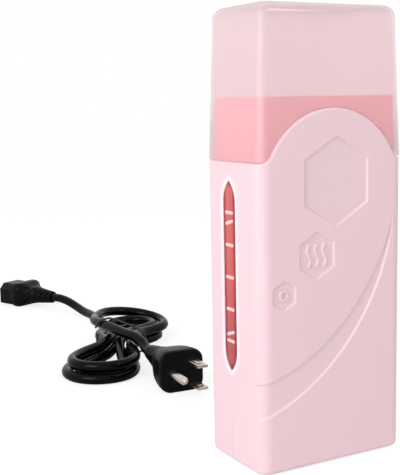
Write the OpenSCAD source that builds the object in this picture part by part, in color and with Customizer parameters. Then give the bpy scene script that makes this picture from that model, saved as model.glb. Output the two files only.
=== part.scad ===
// Roll-on wax heater: two shells round a coral cartridge bay, a heating plate
// with its electrics, a frosted lift-off cap and a loose mains lead.
// Millimetres. Z is up, the base stands on z = 0, the front looks along -Y.

/* [Body] */
// Width of the body, side to side
body_w = 79; // [77:0.5:82]
// Depth of the body, front to back
body_d = 46; // [45.5:0.5:48]
// Height over the cap
body_h = 207; // [200:1:215]
// Radius of the upright edges of the shells
body_r = 6; // [5.5:0.5:6.5]
// Wall thickness of the shells
wall = 2.2; // [2:0.1:2.4]
// Radius of the edges round the base
base_r = 2.5; // [2:0.5:4]
// Height of the seam between shells and cap at the narrow sides
seam_z = 139; // [138:0.5:140]
// Height of the arch that the shells raise over each broad face
arch_z = 162; // [161:0.5:163]
// Radius of the arch
arch_r = 37; // [36:0.5:38]
// Distance of the shells' parting plane behind the middle
part_y = 2.2; // [2:0.1:3]

/* [Cap] */
// Wall thickness of the cap
cap_wall = 1.4; // [1.2:0.1:1.6]
// Share of its width that the cap loses towards the top
cap_taper = 0.06; // [0.05:0.005:0.065]
// Radius of the edges round the top
cap_top_r = 5; // [4:0.5:6]
// Radius of the cap's upright edges
cap_corner = 4;   // [3.4:0.2:4.4]
// Gap between the cap and the shells
cap_gap = 0.3; // [0.2:0.1:0.5]
// How far the cap's walls stand back from the shells' faces
cap_inset = 0.4; // [0.2:0.1:0.5]

/* [Cartridge bay] */
// Clear width of the bay, for a cartridge about 52 wide
bay_w = 53.2; // [52.6:0.2:54]
// Clear depth of the bay, for a cartridge about 32 deep
bay_d = 33; // [32.4:0.2:33.4]
// Height of the bay's floor above the table
bay_z = 47; // [45:1:49]
// Height of the neck's top
neck_z = 167; // [165:0.5:169]

/* [Windows] */
// Width of each level window
slot_w = 10.4; // [9:0.2:11]
// Height of the window's lower tip
slot_low = 43.6; // [43:0.2:45]
// Height of the window's upper tip
slot_high = 130.6; // [129:0.2:131]
// Distance between the level marks
mark_pitch = 14.7; // [14:0.1:15]

/* [Mains] */
// Height of the inlet's middle
inlet_z = 22; // [21:0.5:24]
// Diameter of the mains lead
cord_d = 6.5; // [6.2:0.1:6.6]

/* [Hidden] */
$fn = 48;
eps = 0.01;

// Colours of the pieces
shell_pink = [0.93, 0.80, 0.83];
coral = [0.88, 0.45, 0.47];
frosted_pink = [0.94, 0.83, 0.84, 0.6];
metal = [0.78, 0.78, 0.80];
white_part = [0.92, 0.91, 0.88];
black_part = [0.07, 0.07, 0.08];
brass = [0.80, 0.66, 0.36];

// Shells
foot_h = 0.6;                            // how far the feet hold the shells up
floor_z = foot_h + wall;                 // top of the shells' floor
inner_w = body_w - 2 * wall;
inner_d = body_d - 2 * wall;
inner_r = body_r - wall;
arch_fillet = 7;                         // the sweep from the arch to the seam
arch_mid_z = arch_z - arch_r;
arch_foot_x = sqrt(pow(arch_r + arch_fillet, 2) - pow(seam_z + arch_fillet - arch_mid_z, 2));
relief = 1;                              // depth of the pockets and of the band
band_top = [[-39.5, 42.1], [-0.4, 49.9], [24.7, 82.1], [33.6, 113]];
band_low = [[-39.5, 25.8], [5.6, 38.2], [31.4, 79.8], [33.6, 113]];
band_fade = 12;                          // how far it runs along the narrow side
big_hex = [1.4, 129.5, 20.4];            // x, z and corner radius of each pocket
mid_hex = [-9.3, 97.2, 11.2];
small_hex = [-26.8, 80.9, 7.2];
ring_r = 2.45;                           // the ring round the lamp's hole
lamp_r = 1.25;
screw_x = 32.8;
screw_zs = [14, 116];
boss_r = 3.4;
head_r = 2.25;
thread_r = 1.25;
head_seat_y = 14;
foot_at = [29, 14];                      // x and y of each foot
foot_r = 4;
ledge_z = 127;                           // the bay hangs on four ledges here

// Cartridge bay and heating parts, counted back from the bay's clear space
neck_w = body_w - 6.4;                   // at its top
neck_d = body_d - 5.6;
neck_foot = [inner_w - 0.4, inner_d - 0.4];
neck_r = 3.2;
neck_wall = 1.8;
bay_wall = 1.5;
bay_front_y = -18.4;
bay_back_y = bay_front_y + bay_d;
bay_mid_y = (bay_front_y + bay_back_y) / 2;
bay_corner = 5.5;
deck_t = 2.6;
pad_w = 39.6;                            // the plate's pad fills the bay's back window
pad_z = [55, 143];
plate_y = bay_back_y + bay_wall;
plate_t = 1.2;
ptc_y = plate_y + plate_t;
ptc_t = 2.2;
ptc_z = [83, 109];
clamp_y = ptc_y + ptc_t;
clamp_t = 0.6;
sheet_y = clamp_y + clamp_t + 0.1;

// Windows
slot_tip = 9.5;                          // height of each pointed end
strip_sink = 0.4;                        // how deep the strip lies in its slot
window_flange = 0.9;
mark_z = 57.5;
mark_t = 1.7;
mark_len = 6.6;

// Inlet: a three-pin appliance inlet, 24.8 by 17 inside and 14.6 deep
inlet_hole = [24.8, 14.6, 17];
inlet_flange = [31, 1.6, 24];
inlet_body = [27.4, 17.4, 20];
inlet_pin = [2, 14, 4];
inlet_pins_at = [[-7, -2], [7, -2], [0, 2]];

// Mains lead, laid out flat in a frame of its own: the waist of the hank is its
// origin and the hank lies along its Y. cord_place and cord_turn set it down.
cord_place = [-3, 209, 0];
cord_turn = -37;
cord_r = cord_d / 2;
layer_h = cord_d + 0.5;
hank_loops = 3;
hank_rings = 24;                         // to a loop
hank_top = 37;                           // the middles of the hank's folds
hank_low = -52;
fold_r = 12;                             // radius of the innermost fold
fold_step = 8;                           // what a fold widens by in one loop
waist_x = 1.2;
waist_step = 7.4;
waist_half = 8;                          // half the straight stretch under the tie
waist_lift = 1;                          // room for the tie under the waist
hank_start = [-24, 43.5, cord_r];
plug_at = [29.1, -43.3, 12.4];
plug_turn = -57;
connector_at = [-86, 130, 9.8];
connector_turn = 150;
lead_points = [
    [-86, 130, 9.8], [-79, 126, 9.8], [-71, 121, 8.4], [-62, 114, 5.6], [-54, 106, 3.7],
    [-46, 97, 3.25], [-39, 87, 3.25], [-33, 76, 3.25], [-28.5, 66, 3.25], [-25.5, 58, 3.25],
    [-24, 50, 3.25], [-24, 43.5, 3.25]
];
tail_points = [
    [-24, 30.5, 17.25], [-24, 25, 17.25], [-22, 17, 17.8], [-17, 8, 18.4],
    [-10, 0, 18.6], [-2.5, -8, 18.4], [5.5, -16, 17.8], [12.5, -22.6, 17.6],
    [16.4, -26.1, 16.9], [20.6, -30.4, 15.4], [23.4, -34.5, 13.6], [26.1, -38.69, 12.4],
    [29.1, -43.3, 12.4]
];
tail_waist = 4;                          // the tail's point at the waist
tie_t = 0.7;
tie_w = 2.4;

// Contact slots across the connector, and where they start
contact_at = [[-7, -2], [7, -2], [0, 2]];
contact_x = 41;

// Blade and pin places across the plug, a three-pin 15 A plug laid on its side
blade_y = 5;
blade_z = 6.35;
ground_y = -6.9;
plug_face_x = 48;

// ---------- outlines ----------

// A rectangle with round corners, as exact arcs
module rounded(w, d, r) {
    square([w - 2 * r, d], center = true);
    square([w, d - 2 * r], center = true);
    for (x = [-1, 1], y = [-1, 1])
        translate([x * (w / 2 - r), y * (d / 2 - r)]) circle(r);
}

// Upright outline with round corners at the base only
module round_based(w) {
    top = seam_z - foot_h;
    translate([-w / 2, base_r]) square([w, top - base_r]);
    translate([-w / 2 + base_r, 0]) square([w - 2 * base_r, base_r + eps]);
    for (x = [-1, 1]) translate([x * (w / 2 - base_r), base_r]) circle(base_r);
}

// A flat shape in X and Z, given thickness from y0 to y1
module upright(y0, y1) {
    translate([0, y1, 0]) rotate([90, 0, 0]) linear_extrude(y1 - y0) children();
}

// A flat shape in Y and Z, given thickness from x0 to x1
module sideways(x0, x1) {
    translate([x0, 0, 0]) rotate([90, 0, 90]) linear_extrude(x1 - x0) children();
}

function arc(mid, r, from, to, steps = 16) = [
    for (i = [0:steps]) mid + r * [cos(from + (to - from) * i / steps),
                                   sin(from + (to - from) * i / steps)]
];

function bezier(p, t) =
    p[0] * pow(1 - t, 3) + 3 * p[1] * pow(1 - t, 2) * t
    + 3 * p[2] * (1 - t) * t * t + p[3] * pow(t, 3);

// The arch over a broad face: a round top whose feet sweep out to the seam
module arch(grow = 0) {
    lean = asin((seam_z + arch_fillet - arch_mid_z) / (arch_r + arch_fillet));
    foot = [arch_foot_x, seam_z + arch_fillet];
    right = arc(foot, arch_fillet - grow, 270, 180 + lean);
    top = arc([0, arch_mid_z], arch_r + grow, lean, 180 - lean, 40);
    left = [for (i = [len(right) - 1:-1:0]) [-right[i][0], right[i][1]]];
    polygon(concat([[arch_foot_x, seam_z - 4]], right, top, left, [[-arch_foot_x, seam_z - 4]]));
}

// The sweeping band: two curves that meet at the upper right
module band() {
    steps = 24;
    polygon(concat(
        [[-body_w, band_low[0][1]]],
        [for (i = [0:steps]) bezier(band_low, i / steps)],
        [for (i = [steps - 1:-1:0]) bezier(band_top, i / steps)],
        [[-body_w, band_top[0][1]]]
    ));
}

// What the band takes off the front. It fades out along the narrow side.
module band_cut() {
    corner_y = body_r - body_d / 2;
    side_x = -body_w / 2;
    end_y = corner_y + band_fade;
    difference() {
        upright(-body_d, end_y - 0.5) band();
        linear_extrude(body_h) {
            rounded(body_w - 2 * relief, body_d - 2 * relief, body_r - relief);
            polygon([[0, corner_y], [side_x + relief, corner_y], [side_x, end_y], [0, end_y]]);
        }
    }
}

// A level window's outline: straight sides with a pointed arch at each end
module lancet(w, low, high, tip) {
    r = (w * w / 4 + tip * tip) / w;
    translate([-w / 2, low + tip]) square([w, high - low - 2 * tip]);
    for (end = [[low + tip, -1], [high - tip, 1]])
        intersection() {
            translate([r - w / 2, end[0]]) circle(r, $fn = 96);
            translate([w / 2 - r, end[0]]) circle(r, $fn = 96);
            translate([-w / 2, end[1] > 0 ? end[0] - eps : end[0] - tip])
                square([w, tip + eps]);
        }
}

// A hexagon pocket's cutter on the front face
module hex_pocket(hex) {
    translate([hex[0], -body_d / 2 + relief, hex[1]])
        rotate([90, 30, 0]) cylinder(r = hex[2], h = relief + 1, $fn = 6);
}

// ---------- shells ----------

module body_block() {
    intersection() {
        translate([0, 0, foot_h]) linear_extrude(seam_z - foot_h) rounded(body_w, body_d, body_r);
        translate([0, 0, foot_h]) upright(-body_d, body_d) round_based(body_w);
        translate([0, 0, foot_h]) sideways(-body_w, body_w) round_based(body_d);
    }
}

// Everything the two shells share, before the parting plane divides them
module body_shell() {
    difference() {
        union() {
            body_block();
            intersection() {
                translate([0, 0, seam_z - 3]) linear_extrude(30) rounded(body_w, body_d, body_r);
                union() {
                    upright(-body_d, -inner_d / 2 + 4) arch();
                    upright(inner_d / 2 - 4, body_d) arch();
                }
            }
        }
        translate([0, 0, floor_z]) linear_extrude(body_h) rounded(inner_w, inner_d, inner_r);
        for (side = [-1, 1])
            translate([side * body_w / 2, part_y, 0]) sideways(-wall - 1, wall + 1)
                lancet(slot_w, slot_low, slot_high, slot_tip);
        for (x = [-1, 1], y = [-1, 1])
            translate([x * foot_at[0], y * foot_at[1], 0]) cylinder(r = foot_r + 0.1, h = 2.2);
    }
}

module half(front) {
    y0 = front ? -body_d : part_y;
    translate([-body_w, y0, -1]) cube([2 * body_w, front ? body_d + part_y : body_d, body_h]);
}

module ledges(front) {
    depth = 3.6;
    y = front ? -inner_d / 2 - 0.2 : inner_d / 2 + 0.2 - depth;
    for (x = [-1, 1])
        translate([x * screw_x - 2.2, y, ledge_z - 2]) cube([4.4, depth, 2]);
}

module heat_wave(shift) {
    steps = 12;
    half_t = 0.75;
    wave = [for (i = [0:steps]) [shift + 0.9 * sin(360 * i / steps), -4.6 + 9.2 * i / steps]];
    polygon(concat([for (p = wave) p - [half_t, 0]],
                   [for (i = [steps:-1:0]) wave[i] + [half_t, 0]]));
}

module front_shell() color(shell_pink) {
    face = -body_d / 2;
    difference() {
        union() {
            difference() {
                intersection() { body_shell(); half(true); }
                band_cut();
                for (hex = [big_hex, mid_hex, small_hex]) hex_pocket(hex);
            }
            for (x = [-1, 1], z = screw_zs)
                translate([x * screw_x, part_y, z]) rotate([90, 0, 0])
                    cylinder(r = boss_r, h = part_y + inner_d / 2 + 0.2);
            ledges(true);
            translate([small_hex[0], face + relief + 0.2, small_hex[1]]) rotate([90, 0, 0])
                cylinder(r = ring_r, h = 0.8);
            upright(face + 0.2, face + relief + 0.2) for (i = [-1:1])
                translate([mid_hex[0], mid_hex[1]]) heat_wave(4.2 * i);
        }
        for (x = [-1, 1], z = screw_zs)
            translate([x * screw_x, part_y + 1, z]) rotate([90, 0, 0])
                cylinder(r = thread_r - 0.05, h = 15);
        translate([small_hex[0], face + 5, small_hex[1]]) rotate([90, 0, 0])
            cylinder(r = lamp_r, h = 6);
    }
}

module back_shell() color(shell_pink) {
    face = body_d / 2;
    pad = inlet_flange + [5, 1.6, 5];
    difference() {
        union() {
            intersection() { body_shell(); half(false); }
            for (x = [-1, 1], z = screw_zs)
                translate([x * screw_x, inner_d / 2 + 0.2, z]) rotate([90, 0, 0])
                    cylinder(r = boss_r, h = inner_d / 2 + 0.2 - part_y);
            ledges(false);
            translate([-pad[0] / 2, face - wall - 2, inlet_z - pad[2] / 2 + 0.7])
                cube([pad[0], 2.2, pad[2] - 1.4]);
        }
        for (x = [-1, 1], z = screw_zs) {
            translate([x * screw_x, face + 1, z]) rotate([90, 0, 0])
                cylinder(r = head_r + 0.15, h = face + 1 - head_seat_y);
            translate([x * screw_x, face, z]) rotate([90, 0, 0])
                cylinder(r = thread_r + 0.2, h = face - part_y + 1);
        }
        translate([-inlet_flange[0] / 2 - 0.1, face - inlet_flange[1], inlet_z - inlet_flange[2] / 2 - 0.1])
            cube(inlet_flange + [0.2, 1, 0.2]);
        translate([-inlet_body[0] / 2 - 0.1, face - 8, inlet_z - inlet_body[2] / 2 - 0.1])
            cube([inlet_body[0] + 0.2, 9, inlet_body[2] + 0.2]);
    }
}

module shell_screws() color(metal)
    for (x = [-1, 1], z = screw_zs)
        translate([x * screw_x, head_seat_y, z]) {
            difference() {
                rotate([-90, 0, 0]) cylinder(r = head_r, h = 1.8);
                for (turn = [0, 90])
                    translate([0, 1.3, 0]) rotate([0, turn, 0])
                        cube([2.6, 1.4, 0.6], center = true);
            }
            rotate([90, 0, 0]) cylinder(r = thread_r - 0.05, h = 24);
        }

module rubber_feet() color(white_part)
    for (x = [-1, 1], y = [-1, 1])
        translate([x * foot_at[0], y * foot_at[1], 0]) cylinder(r = foot_r, h = 2.2);

// ---------- cartridge bay and windows ----------

module bay_tube(w, d, r) {
    translate([0, bay_mid_y]) rounded(w, d, r);
}

// The neck: straight inside the shells, drawn in above them as the cap is
module neck_block() hull() {
    translate([0, 0, ledge_z]) linear_extrude(seam_z - ledge_z)
        rounded(neck_foot[0], neck_foot[1], neck_r);
    translate([0, 0, neck_z - eps]) linear_extrude(eps) rounded(neck_w, neck_d, neck_r);
}

// The coral inner piece: neck, deck with the cartridge's mouth, and the bay below
module cartridge_bay() color(coral) {
    outer_w = bay_w + 2 * bay_wall;
    outer_d = bay_d + 2 * bay_wall;
    difference() {
        union() {
            difference() {
                neck_block();
                translate([0, 0, ledge_z - 1]) linear_extrude(neck_z - deck_t - ledge_z + 1)
                    rounded(neck_w - 2 * neck_wall, neck_d - 2 * neck_wall, neck_r - neck_wall);
            }
            translate([0, 0, bay_z - 2]) linear_extrude(neck_z - deck_t - bay_z + 2.5)
                bay_tube(outer_w, outer_d, bay_corner + bay_wall);
        }
        translate([0, 0, bay_z]) linear_extrude(neck_z) bay_tube(bay_w, bay_d, bay_corner);
        for (side = [-1, 1])
            translate([side * outer_w / 2, part_y, 0]) sideways(-3, 3)
                lancet(slot_w, slot_low + 5, slot_high - 1, slot_tip);
        translate([-pad_w / 2 - 0.1, bay_back_y - 1, pad_z[0] - 0.1])
            cube([pad_w + 0.2, bay_wall + 2, pad_z[1] - pad_z[0] + 0.2]);
    }
}

// The coral strip that shows through the side wall, with its white level marks
module window_strip() {
    outside = body_w / 2 - strip_sink;
    inside = body_w / 2 - wall;
    slack = 0.12;
    translate([0, part_y, 0]) {
        sideways(inside - eps, outside)
            lancet(slot_w - 2 * slack, slot_low + slack, slot_high - slack, slot_tip);
        sideways(inside - window_flange, inside)
            translate([-slot_w / 2 - 1.3, slot_low + 3]) square([slot_w + 2.6, slot_high - slot_low - 7]);
        for (i = [0:4]) mark(mark_z + i * mark_pitch, 0);
        mark(mark_z + 3.6, -18);
        mark(mark_z + 3.6 * mark_pitch + 1.5, -15);
    }
}

module mark(z, lean) {
    outside = body_w / 2 - strip_sink;
    sideways(outside - 0.1, outside + 0.3)
        translate([0, z]) rotate(lean) square([mark_len, mark_t], center = true);
}

module window_right() color(coral) window_strip();

module window_left() color(coral) mirror([1, 0, 0]) window_strip();

// ---------- heating parts ----------

module heating_plate() color(metal) {
    plate_w = 55;
    translate([-pad_w / 2, bay_back_y, pad_z[0]])
        cube([pad_w, bay_wall + 0.1, pad_z[1] - pad_z[0]]);
    difference() {
        translate([-plate_w / 2, plate_y, pad_z[0] - 4])
            cube([plate_w, plate_t, pad_z[1] - pad_z[0] + 8]);
        for (z = ptc_z) translate([0, plate_y - 1, z + (z > 100 ? 5 : -5)]) rotate([-90, 0, 0])
            cylinder(r = 1.3, h = plate_t + 2);
    }
}

module ptc_heater() color([0.80, 0.60, 0.25])
    translate([-20, ptc_y, ptc_z[0]]) cube([40, ptc_t, ptc_z[1] - ptc_z[0]]);

module ptc_clamp() color(metal) {
    low = ptc_z[0] - 8;
    high = ptc_z[1] + 8;
    difference() {
        union() {
            translate([-12, clamp_y, ptc_z[0] - 0.6])
                cube([24, clamp_t, ptc_z[1] - ptc_z[0] + 1.2]);
            for (z = [ptc_z[0] - 0.6, ptc_z[1]])
                translate([-12, ptc_y, z]) cube([24, ptc_t + clamp_t, 0.6]);
            for (z = [low, ptc_z[1] + 0.5])
                translate([-12, ptc_y, z]) cube([24, clamp_t, 7.5]);
        }
        for (z = [low + 3, high - 3]) translate([0, ptc_y - 1, z]) rotate([-90, 0, 0])
            cylinder(r = 1.3, h = 3);
    }
}

module clamp_screws() color(metal)
    for (z = [ptc_z[0] - 5, ptc_z[1] + 5])
        translate([0, ptc_y + clamp_t, z]) {
            rotate([-90, 0, 0]) cylinder(r = 2.2, h = 1.4);
            rotate([90, 0, 0]) cylinder(r = 1.25, h = plate_t + clamp_t - 0.2);
        }

module insulation_sheet() color(white_part)
    translate([-24, sheet_y, 67]) cube([48, 0.4, 50.6]);

module thermostat() color(black_part) {
    translate([10, ptc_y, 119]) cube([15, 3, 6.5]);
}

module thermal_fuse() color(white_part)
    translate([-22, ptc_y + 1.6, 122]) rotate([0, 90, 0]) cylinder(r = 1.6, h = 13);

// ---------- power lamp ----------

module led_lens() color([0.98, 0.93, 0.90])
    translate([small_hex[0], -body_d / 2 + 0.5, small_hex[1]]) rotate([-90, 0, 0]) {
        cylinder(r = lamp_r - 0.05, h = wall - 0.5 + 0.05);
        translate([0, 0, wall - 0.5]) cylinder(r = 2, h = 0.7);
    }

module led() color([1.0, 0.85, 0.80])
    translate([small_hex[0] - 0.8, -inner_d / 2 + 0.7, small_hex[1] - 0.9])
        cube([1.6, 1, 1.8]);

module led_board() color([0.20, 0.45, 0.30]) {
    y = -inner_d / 2 + 1.7;
    translate([-36.6, y, 73]) cube([10.2, 0.8, 16]);
    translate([-34.5, y + 0.8, 77]) cube([3.2, 0.8, 1.8]);
}

// ---------- inlet and inner wires ----------

module mains_inlet() color(black_part) {
    face = body_d / 2;
    difference() {
        union() {
            translate([-inlet_flange[0] / 2, face - inlet_flange[1], inlet_z - inlet_flange[2] / 2])
                cube(inlet_flange);
            translate([-inlet_body[0] / 2, face - inlet_body[1], inlet_z - inlet_body[2] / 2])
                cube([inlet_body[0], inlet_body[1], inlet_body[2]]);
        }
        translate([-inlet_hole[0] / 2, face - inlet_hole[1], inlet_z - inlet_hole[2] / 2])
            cube([inlet_hole[0], inlet_hole[1] + 1, inlet_hole[2]]);
        for (at = inlet_pins_at)
            translate([at[0], face - inlet_body[1] - 1, inlet_z + at[1]])
                translate([-inlet_pin[0] / 2, 0, -inlet_pin[2] / 2])
                    cube([inlet_pin[0], 8, inlet_pin[2]]);
    }
}

module inlet_pins() color(metal)
    for (at = inlet_pins_at) {
        y = body_d / 2 - inlet_body[1];
        translate([at[0] - inlet_pin[0] / 2, y, inlet_z + at[1] - inlet_pin[2] / 2])
            cube(inlet_pin);
        translate([at[0] - 0.4, y - 6, inlet_z + at[1] - 2]) cube([0.8, 6.1, 4]);
    }

// A straight round rod between two points
module rod(a, b, r) {
    d = b - a;
    translate(a) rotate([0, acos(d[2] / norm(d)), atan2(d[1], d[0])])
        cylinder(r = r, h = norm(d), $fn = 16);
}

// An inner wire along a bent path
module wire(path, r = 0.8) {
    tube(path, r, 6, [0, 1, 0]);
}

module wire_live() color([0.55, 0.30, 0.20]) {
    wire([[7, -1.6, 20], [7, -6, 24], [14, -4, 30], [24, 6, 36], [28.6, 14, 44], [28.6, 18.4, 56],
          [28.6, 18.8, 85], [28.6, 18.8, 113], [28.4, 18.8, 119], [27, 18.8, 122], [25, 18.8, 122]]);
    wire([[10, 18.8, 122], [8, 18.8, 122], [4, 18.8, 124], [-4, 18.8, 124], [-7, 18.8, 122],
          [-9, 18.8, 122]]);
    wire([[-22, 18.8, 122], [-23.8, 18.8, 122], [-25.2, 18.8, 120], [-25.4, 18.8, 113],
          [-23.6, 18.6, 105], [-20.5, 18.5, 102]]);
}

module wire_neutral() color([0.25, 0.40, 0.70])
    wire([[-7, -1.6, 20], [-7, -6, 24], [-14, -4, 30], [-24, 6, 36], [-28.6, 14, 44],
          [-28.6, 18.4, 56], [-28.4, 18.8, 79], [-25, 18.6, 87], [-20.5, 18.5, 89]]);

module wire_earth() color([0.45, 0.65, 0.25])
    wire([[0, -1.6, 24], [1, -5, 28], [4, -4, 34], [10, 4, 38], [14, 15, 40],
          [14, 18.6, 45], [14, 18.3, 53]]);

module wire_led() color([0.75, 0.20, 0.20])
    wire([[-8.6, -2.8, 22], [-12, -6, 25], [-20, -9, 32], [-32, -13, 42], [-34.4, -16, 52],
          [-34.4, -17, 63], [-34.4, -17.3, 72.5]], 0.6);

// ---------- cap ----------

// A tapered block with rounded upper edges
module cap_block(inset, top_r) {
    low_z = seam_z + cap_gap;
    high_z = body_h - inset;
    plan = [body_w, body_d] - 2 * (inset + cap_inset) * [1, 1];
    hull() {
        translate([0, 0, low_z]) linear_extrude(eps)
            rounded(plan[0], plan[1], cap_corner - inset, $fn = 32);
        for (lean = [0:15:90]) {
            z = high_z - top_r * (1 - sin(lean));
            share = 1 - cap_taper * (z - low_z) / (body_h - low_z);
            edge = 2 * top_r * (1 - cos(lean));
            translate([0, 0, z - eps]) linear_extrude(eps)
                rounded(plan[0] * share - edge, plan[1] * share - edge,
                        max(cap_corner - inset - edge / 4, 0.8), $fn = 32);
        }
    }
}

module cap() color(frosted_pink)
    difference() {
        cap_block(0, cap_top_r);
        translate([0, 0, -eps]) cap_block(cap_wall, cap_top_r - cap_wall);
        upright(-body_d, -body_d / 2 + 5) arch(cap_gap);
        upright(body_d / 2 - 5, body_d) arch(cap_gap);
    }

// ---------- mains lead ----------

module laid() {
    translate(cord_place) rotate([0, 0, cord_turn]) children();
}

function unit(v) = v / norm(v);

// Directions along a row of points
function heading(p, i) = unit(p[min(i + 1, len(p) - 1)] - p[max(i - 1, 0)]);

// A ring of corners square to a heading, with a flat side towards -top
function ring(at, dir, r, sides, top) =
    let (side = unit(cross(dir, top)), up = cross(side, dir))
    [for (k = [0:sides - 1])
        let (a = 360 * (k + 0.5) / sides) at + r * (sin(a) * side - cos(a) * up)];

// A tube swept along points, as one closed mesh
module tube(path, r, sides, top = [0, 0, 1]) {
    n = len(path);
    corners = [for (i = [0:n - 1]) each ring(path[i], heading(path, i), r, sides, top)];
    faces = concat(
        [for (i = [0:n - 2], k = [0:sides - 1])
            let (a = i * sides + k, b = i * sides + (k + 1) % sides)
            each [[a, b, b + sides], [a, b + sides, a + sides]]],
        [for (k = [1:sides - 2]) [0, k + 1, k]],
        [for (k = [1:sides - 2]) [0, k, k + 1] + (n - 1) * sides * [1, 1, 1]]
    );
    polyhedron(points = corners, faces = faces);
}

function smooth(t) = let (s = max(0, min(1, t))) s * s * (3 - 2 * s);

// A point on the hank's centre line after t loops. The loops run down the left
// side and up the right one, spiral in over the first half and out again over
// the second, and climb a layer in the first half of the run after the turn.
function hank_point(t) =
    let (
        turned = abs(t - hank_loops / 2),
        fold = fold_r + fold_step * turned,
        waist = waist_x + waist_step * turned,
        quarter = floor(4 * t + 0.0001) % 4,
        part = 4 * t - floor(4 * t + 0.0001),
        down = quarter == 0,
        run = quarter % 2 == 0,
        side = quarter < 2 ? -1 : 1,
        y = down ? hank_top + (hank_low - hank_top) * part
                 : hank_low + (hank_top - hank_low) * part,
        span = y > 0 ? hank_top : -hank_low,
        open = (1 - cos(180 * max(0, abs(y) - waist_half) / (span - waist_half))) / 2,
        turn = 180 * part,
        mid = quarter == 1 ? hank_low : hank_top,
        way = quarter == 1 ? -1 : 1,
        x = run ? (down ? -1 : 1) * (waist + (fold - waist) * open)
                : way * fold * cos(turn),
        yy = run ? y : mid + way * fold * sin(turn),
        layer = smooth(8 * (t - hank_loops / 2)) + smooth(4 * (t - hank_loops) + 1),
        lift = waist_lift * (1 - smooth((abs(yy) - waist_half) / 14))
    )
    [x, yy, cord_r + layer_h * layer + lift];

// The hank's centre line, with a straight stretch at each end
function hank_path(rings) = concat(
    [hank_start],
    [for (i = [0:hank_loops * rings]) hank_point(i / rings)],
    [hank_point(hank_loops) - [0, cord_d, 0]]
);

// The least gap between stretches of the hank that are over half a loop apart
function hank_gap(path, away) = min([
    for (i = [0:len(path) - 1], j = [i + away:len(path) - 1]) norm(path[i] - path[j])
]) - cord_d;

module cord_lead() color(black_part) laid() tube(lead_points, cord_r, 8);

module cord_hank() color(black_part) {
    echo(least_gap_of_hank = hank_gap(hank_path(2 * hank_rings), hank_rings));
    laid() tube(hank_path(hank_rings), cord_r, 6);
}

module cord_tail() color(black_part) laid() tube(tail_points, cord_r, 8);

// The turns at which the loops pass the waist, going down and coming up
function waist_turns() =
    let (down = hank_top / (hank_top - hank_low))
    [for (k = [0:hank_loops - 1]) each [k + down / 4, k + 0.5 + (1 - down) / 4]];

// The strands' cross-section at the waist, grown by a margin. The tail crosses
// at a slant, so it takes a wider place.
module waist_section(grow) {
    tail = tail_points[tail_waist];
    hull() {
        for (t = waist_turns()) {
            p = hank_point(t);
            translate([p[0], p[2]]) circle(cord_r + grow, $fn = 24);
        }
        for (slant = [-2, 2])
            translate([tail[0] + slant, tail[2]]) circle(cord_r + grow, $fn = 24);
    }
}

module cord_tie() color([0.16, 0.16, 0.17]) laid() {
    upright(-tie_w / 2, tie_w / 2) difference() {
        waist_section(0.15 + tie_t);
        waist_section(0.15);
    }
    rod([-15.6, 0, 12.4], [-22.5, 1.5, 16], 1);
    rod([-15.6, 0, 12.4], [-21.5, -3, 12.8], 1);
}

// A ribbed sleeve along X, from the lead's radius to a wider root
module sleeve(length, tip_r, root_r, ribs) {
    pitch = length / ribs;
    rotate([0, 90, 0]) rotate_extrude() for (i = [0:ribs - 1]) {
        r = tip_r + (root_r - tip_r) * (i + 0.5) / ribs;
        translate([0, i * pitch]) square([r - 0.9, pitch + (i < ribs - 1 ? eps : 0)]);
        translate([0, i * pitch + 0.3 * pitch]) square([r, 0.55 * pitch]);
    }
}

// A thin slab across X with round corners
module slab(x, w, h, r) {
    translate([x, 0, 0]) rotate([90, 0, 90]) linear_extrude(1) rounded(w, h, r, $fn = 24);
}

module on_connector() laid() translate(connector_at) rotate([0, 0, connector_turn]) children();

module connector_relief() color(black_part) on_connector() sleeve(18, 4.4, 6.4, 6);

module connector_body() color(black_part) on_connector() difference() {
    union() {
        slab(18, 14.6, 14.6, 6);
        hull() { slab(18.5, 12.4, 12.4, 5); slab(24, 13, 12.6, 5); }
        hull() { slab(24, 13, 12.6, 5); slab(29, 25.6, 18.4, 5); }
        hull() { slab(28.5, 25.6, 18.4, 5); slab(30, 27, 19.4, 5); slab(36, 27, 19.4, 5); }
        translate([36, 0, 0]) rotate([90, 0, 90]) linear_extrude(17) polygon([
            [-12, -8.2], [12, -8.2], [12, 3.6], [7.4, 8.2], [-7.4, 8.2], [-12, 3.6]]);
    }
    for (at = contact_at)
        translate([contact_x, at[0] - 1.3, at[1] - 2.3]) cube([13, 2.6, 4.6]);
}

module connector_contacts() color(brass) on_connector()
    for (at = contact_at) {
        translate([contact_x, at[0] - 1.25, at[1] - 2]) cube([9, 0.3, 4]);
        translate([contact_x, at[0] + 0.95, at[1] - 2]) cube([9, 0.3, 4]);
    }

module on_plug() laid() translate(plug_at) rotate([0, 0, plug_turn]) children();

module plug_relief() color(black_part) on_plug() sleeve(14, 4.4, 6.6, 4);

module plug_body() color(black_part) on_plug() difference() {
    union() {
        hull() { slab(14, 12.6, 12.6, 5.5); slab(22, 16, 16.5, 6); }
        hull() { slab(22, 16, 16.5, 6); slab(32, 22.5, 21.5, 7); }
        hull() { slab(32, 22.5, 21.5, 7); slab(42, 26.5, 24.4, 7.5); slab(plug_face_x - 1, 27, 24.6, 7.5); }
    }
    for (side = [-1, 1])
        translate([plug_face_x - 6, blade_y - 3.2, side * blade_z - 0.78]) cube([7, 6.4, 1.56]);
    translate([plug_face_x - 6, ground_y, 0]) rotate([0, 90, 0]) cylinder(r = 2.4, h = 7);
}

module plug_blades() color(metal) on_plug()
    for (side = [-1, 1]) difference() {
        translate([plug_face_x - 6, blade_y - 3.17, side * blade_z - 0.76])
            cube([23.5, 6.34, 1.52]);
        translate([plug_face_x + 13.5, blade_y, side * blade_z - 2]) cylinder(r = 1.6, h = 4);
    }

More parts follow.
